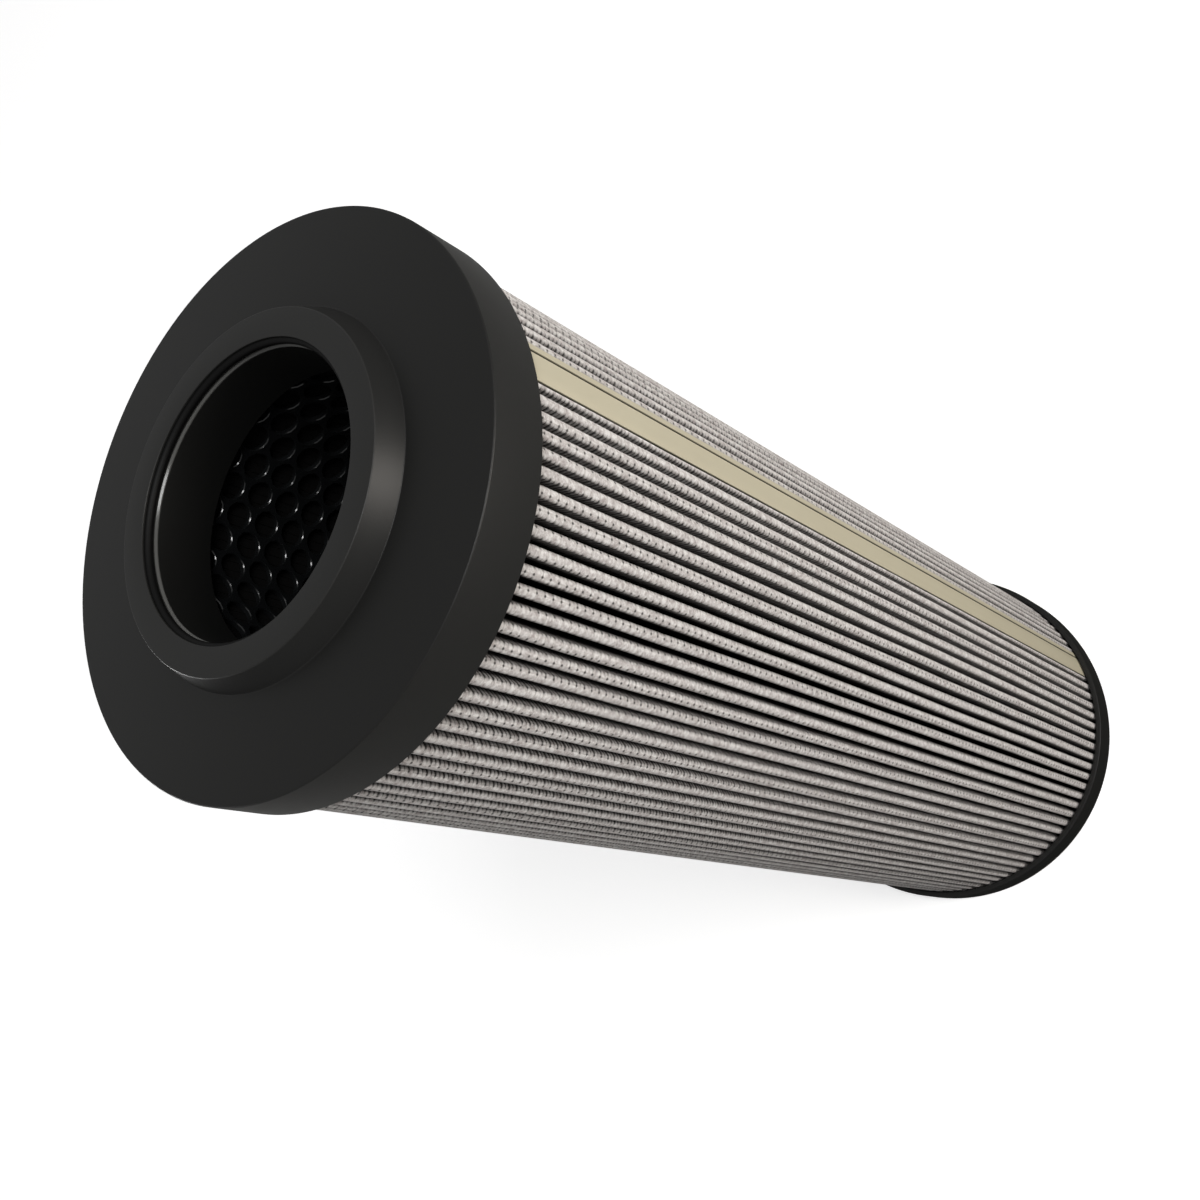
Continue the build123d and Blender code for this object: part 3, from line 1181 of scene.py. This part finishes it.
    def legs(self, pleat_length: float) -> bpy.types.Object:
        """Both end legs, each closed along its free edge.

        Args:
            pleat_length: developed length of one pleat in millimetres.

        Returns:
            The legs in their place.
        """
        mesh = bmesh.new()
        mesh.verts.layers.float.new(DEVELOPED)
        first, last = self.leg_skins(0.0)
        first_under, last_under = self.leg_skins(self.thickness)
        rings = self.add_sheet(mesh, first, first_under, -self.run_length(first))
        self.close_edge(mesh, rings[0])
        rings = self.add_sheet(mesh, last, last_under, self.pleats * pleat_length)
        self.close_edge(mesh, rings[-1])
        return link_mesh("end_legs", mesh, self.sharp)

    def close_edge(self, mesh: bmesh.types.BMesh, ring: list[Vert]) -> None:
        """Close a strip's free edge with a ladder of faces.

        Args:
            mesh: the mesh that gets them.
            ring: the ring at that edge, up the outer skin and down the inner.
        """
        for low in range(self.lengths):
            high = len(ring) - 1 - low
            mesh.faces.new([ring[low], ring[low + 1], ring[high - 1], ring[high]])

    def build(self) -> None:
        """Stand the pleats round the core, let them wander a little and dress the pack."""
        finish = self.finish.build()
        length = self.run_length(self.pleat_skin(0.0))
        recipe = Recipe(
            "pleated_cloth",
            Pleat=self.pleat(),
            Legs=self.legs(length),
            Pleats=self.pleats,
            PleatLength=length * MM,
            Pitch=math.radians(self.pitch),
            First=math.radians(self.first_crest),
            Foot=self.foot * MM,
            Top=self.top * MM,
            Root=self.root * MM,
            Crest=self.crest * MM,
            Wander=self.wander * MM,
            WanderLength=self.wander_length * MM,
            Seed=self.seed,
            Finish=finish,
        )
        index = recipe.index()
        turn = index * recipe.size("Pitch") + recipe.size("First")
        copies = recipe.copies("Pleat", recipe.size("Pleats"), recipe.combined(Z=turn))
        counted = self.stored(recipe, copies, PLEAT, index, "INSTANCE")
        whole = recipe.joined(counted, recipe.template("Legs"))
        number, developed = (self.read(recipe, name) for name in (PLEAT, DEVELOPED))
        run = developed + number * recipe.size("PleatLength")
        measured = self.stored(recipe, whole, DEVELOPED, run, "POINT")
        moved = recipe.moved(measured, Offset=self.wandering(recipe, number))
        made = recipe.run("wire_cloth_pleats", moved, self.weld, self.sharp)
        seat(made, finish, "outer_support_mesh")

    def read(self, recipe: Recipe, name: str) -> Value:
        """The value of a named attribute."""
        inputs = {"Name": name}
        node = recipe.add("GeometryNodeInputNamedAttribute", inputs, data_type="FLOAT")
        return Value(recipe.tree, node.outputs[0])

    def stored(
        self, recipe: Recipe, geometry: Socket, name: str, value: Value, domain: str
    ) -> Socket:
        """Store a number on geometry.

        Args:
            recipe: the recipe that gets the node.
            geometry: what gets the number.
            name: the attribute's name.
            value: the number.
            domain: POINT or INSTANCE.

        Returns:
            The geometry with the attribute.
        """
        inputs = {"Geometry": geometry, "Name": name, "Value": value}
        settings = {"data_type": "FLOAT", "domain": domain}
        return recipe.add("GeometryNodeStoreNamedAttribute", inputs, **settings).outputs[0]

    def wandering(self, recipe: Recipe, pleat: Value) -> Socket:
        """Sideways wander of each pleat along its length: most at its crest, none at its ends.

        Args:
            recipe: the recipe that gets the nodes.
            pleat: the pleat's number.

        Returns:
            The offset.
        """
        place = recipe.add("GeometryNodeInputPosition").outputs[0]
        across, along, height = recipe.parts(place)
        flat = {0: recipe.combined(X=across, Y=along)}
        level = recipe.add("ShaderNodeVectorMath", flat, operation="LENGTH")
        radius = Value(recipe.tree, level.outputs["Value"])
        length, wander = recipe.size("WanderLength"), recipe.size("Wander")
        rise = recipe.ranged(radius, from_min=recipe.size("Root"), from_max=recipe.size("Crest"))
        to_end = (height - recipe.size("Foot")).at_most(recipe.size("Top") - height)
        freedom = recipe.ranged(to_end, from_max=length * self.held_share)
        lane = recipe.combined(
            X=pleat * self.lane_step, Y=recipe.size("Seed"), Z=height / length
        )
        noise = recipe.add("ShaderNodeTexNoise", {"Vector": lane, "Scale": 1.0})
        low, high = self.noise_range
        swing = recipe.ranged(
            noise.outputs["Fac"], from_min=low, from_max=high, to_min=wander * -1.0, to_max=wander
        )
        size = rise * freedom * (swing / radius)
        return recipe.combined(X=along * size * -1.0, Y=across * size)


@dataclass
class SeamStrip:
    """The cream channel that joins the pack's two ends, with its sharp edges broken."""

    finish: CreamPolymer
    weld: float = 0.005
    flat_angle: float = 0.5
    sharp: float = 30.0
    edge: float = 0.07
    edge_segments: int = 2
    edge_angle: float = 40.0

    def build(self) -> None:
        """Merge a copy of the CAD solid, bevel it and dress it."""
        mesh = bmesh.new()
        mesh.from_mesh(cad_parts["seam_strip"].data)
        bmesh.ops.remove_doubles(mesh, verts=mesh.verts, dist=self.weld * MM)
        flat = math.radians(self.flat_angle)
        bmesh.ops.dissolve_limit(mesh, angle_limit=flat, verts=mesh.verts, edges=mesh.edges)
        strip = link_mesh("seam_channel", mesh, self.sharp)
        bevel = strip.modifiers.new("broken_edges", "BEVEL")
        bevel.width = self.edge * MM
        bevel.segments = self.edge_segments
        bevel.limit_method = "ANGLE"
        bevel.angle_limit = math.radians(self.edge_angle)
        bevel.harden_normals = True
        graph = bpy.context.evaluated_depsgraph_get()
        made = bpy.data.meshes.new_from_object(strip.evaluated_get(graph))
        strip.modifiers.remove(bevel)
        strip.data = made
        seat(strip, self.finish.build(), "seam_strip")


@dataclass
class HiddenParts:
    """The nodes that keep their CAD solids: the adhesive beds and the medium."""

    adhesive: Mottled
    medium: Mottled

    def build(self) -> None:
        """Give each of them its finish."""
        bed = self.adhesive.build()
        finishes = {
            "open_end_adhesive": bed,
            "closed_end_adhesive": bed,
            "filter_medium": self.medium.build(),
        }
        for node, material in finishes.items():
            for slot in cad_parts[node].material_slots:
                slot.material = material
            LOG.info("%s keeps its solid", node)


@dataclass(frozen=True)
class PhotoCamera:
    """The photograph's camera: high in front of the open end, and turned on its side."""

    aim: tuple[float, float, float] = (1.82, 1.904, 160.634)
    distance: float = 246.161
    azimuth: float = -43.703
    elevation: float = 49.9965
    roll: float = 69.938
    lens: float = 40.2505
    film: float = 36.0
    clip_start: float = 0.005
    clip_end: float = 50.0

    def build(self) -> None:
        """Place the camera and make it the scene's."""
        turn, lean = math.radians(self.azimuth), math.radians(self.roll)
        back = bearing(self.azimuth, self.elevation)
        level = Vector((-math.sin(turn), math.cos(turn), 0.0))
        upward = back.cross(level)
        up = level * math.sin(lean) + upward * math.cos(lean)
        right = level * math.cos(lean) - upward * math.sin(lean)
        data = bpy.data.cameras.new("photo_camera")
        data.lens = self.lens
        data.sensor_width = self.film
        data.sensor_fit = "HORIZONTAL"
        data.clip_start, data.clip_end = self.clip_start, self.clip_end
        camera = bpy.data.objects.new("photo_camera", data)
        place = Matrix((right, up, back)).transposed().to_4x4()
        place.translation = (Vector(self.aim) + back * self.distance) * MM
        camera.matrix_world = place
        bpy.context.scene.collection.objects.link(camera)
        bpy.context.scene.camera = camera


@dataclass(frozen=True)
class Softbox:
    """A square lamp, aimed at a point on the axis; its side and distance are in metres."""

    name: str
    azimuth: float
    elevation: float
    distance: float
    side: float
    watts: float
    aim_height: float
    tint: str = "#ffffff"

    def build(self) -> None:
        """Make the lamp and hang it."""
        data = bpy.data.lights.new(self.name, "AREA")
        data.shape = "SQUARE"
        data.size = self.side
        data.energy = self.watts
        data.color = linear(self.tint)[:3]
        lamp = bpy.data.objects.new(self.name, data)
        back = bearing(self.azimuth, self.elevation)
        aim = Vector((0, 0, self.aim_height * MM))
        facing = back.to_track_quat("Z", "Y").to_matrix().to_4x4()
        lamp.matrix_world = Matrix.Translation(aim + back * self.distance) @ facing
        bpy.context.scene.collection.objects.link(lamp)


LAMPS = (
    Softbox("low_softbox", -15.0, 3.0, 1.1, side=0.42, watts=5.5, aim_height=240.0, tint="#fff9f1"),
    Softbox("overhead_softbox", -15.0, 57.0, 1.0, side=0.35, watts=4.4, aim_height=240.0),
    Softbox("back_softbox", 175.0, 0.0, 1.3, side=0.2, watts=3.5, aim_height=120.0),
)


@dataclass
class Studio:
    """White table, white surroundings and soft lamps; lengths are in metres.

    The camera sees both as white. To the light that falls on the element the world is
    a soft gradient, and the table is dim, darker still round the element's foot as a
    painted shadow.
    """

    lamps: tuple[Softbox, ...]
    horizon: float = 0.44
    zenith: float = 0.3
    table_side: float = 6.0
    table_glow: float = 0.6
    table_colour: str = "#f4f4f4"
    table_dim: str = "#bcbcba"
    # Painted shadow round the element's foot, for all but camera rays, fading out between the two
    # radii.
    table_painted_shadow: str = "#4c4c4b"
    painted_shadow_radius: float = 0.07
    painted_shadow_end_radius: float = 0.26

    def world(self) -> None:
        """White to the camera, and a soft gradient for all other light."""
        world = bpy.data.worlds.new("surroundings")
        bpy.context.scene.world = world
        nodes = Nodes(emptied(world))
        up = nodes.parts(nodes.add("ShaderNodeTexCoord").outputs["Generated"])[2]
        level = nodes.ranged(up, to_min=self.horizon, to_max=self.zenith)
        seen = nodes.add("ShaderNodeLightPath").outputs["Is Camera Ray"]
        light = {"Strength": nodes.blended(seen, level, 1.0)}
        shown = nodes.add("ShaderNodeBackground", light).outputs[0]
        nodes.add("ShaderNodeOutputWorld", {"Surface": shown})

    def table_finish(self) -> bpy.types.Material:
        """Matt white that glows to the camera, so that it clips to white but for shadow."""
        material = bpy.data.materials.new("white_table_top")
        nodes = Nodes(emptied(material))
        seen = nodes.add("ShaderNodeLightPath").outputs["Is Camera Ray"]
        radius, _ = nodes.round_axis(nodes.add("ShaderNodeTexCoord").outputs["Object"])
        # Painted shadow: the table darker near the element's foot for all but camera rays.
        out_of_painted_shadow = nodes.ranged(radius, from_min=self.painted_shadow_radius, from_max=self.painted_shadow_end_radius)
        dim = nodes.mixed(out_of_painted_shadow, self.table_painted_shadow, self.table_dim)
        tint = nodes.mixed(seen, dim, self.table_colour)
        matt = nodes.add("ShaderNodeBsdfDiffuse", {"Color": tint}).outputs[0]
        level = Value(nodes.tree, seen) * self.table_glow
        glow = nodes.add("ShaderNodeEmission", {"Strength": level}).outputs[0]
        both = nodes.add("ShaderNodeAddShader", {0: matt, 1: glow}).outputs[0]
        nodes.add("ShaderNodeOutputMaterial", {"Surface": both})
        return material

    def build(self) -> None:
        """Make the surroundings, the table and the lamps."""
        self.world()
        half = self.table_side / 2
        mesh = bmesh.new()
        corners = [(-half, -half, 0), (half, -half, 0), (half, half, 0), (-half, half, 0)]
        mesh.faces.new([mesh.verts.new(corner) for corner in corners])
        top = link_mesh("table_top", mesh)
        top.data.materials.append(self.table_finish())
        for lamp in self.lamps:
            lamp.build()


def main() -> None:
    """Dress the frame, piece by piece, and set the stage round it."""
    logging.basicConfig(level=logging.INFO, format="%(name)s: %(message)s")
    bpy.context.scene.view_settings.view_transform = "Standard"
    assemblies = (
        EndCaps(finish=MouldedNylon(), ring_finish=NITRILE),
        CoreTube(finish=ENAMEL),
        PleatPack(finish=WovenWire()),
        SeamStrip(finish=CreamPolymer()),
        HiddenParts(adhesive=EPOXY, medium=FIBRE_MAT_PAINTED_SHADE),
        PhotoCamera(),
        Studio(lamps=LAMPS),
    )
    for assembly in assemblies:
        assembly.build()
        LOG.info("%s is done", type(assembly).__name__)


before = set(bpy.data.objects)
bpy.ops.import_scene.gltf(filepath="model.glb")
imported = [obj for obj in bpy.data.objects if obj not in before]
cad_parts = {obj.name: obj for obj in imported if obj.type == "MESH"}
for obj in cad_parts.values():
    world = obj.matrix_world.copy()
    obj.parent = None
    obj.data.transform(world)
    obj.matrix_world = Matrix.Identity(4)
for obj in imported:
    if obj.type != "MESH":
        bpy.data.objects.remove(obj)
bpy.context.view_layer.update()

if __name__ == "__main__":
    main()
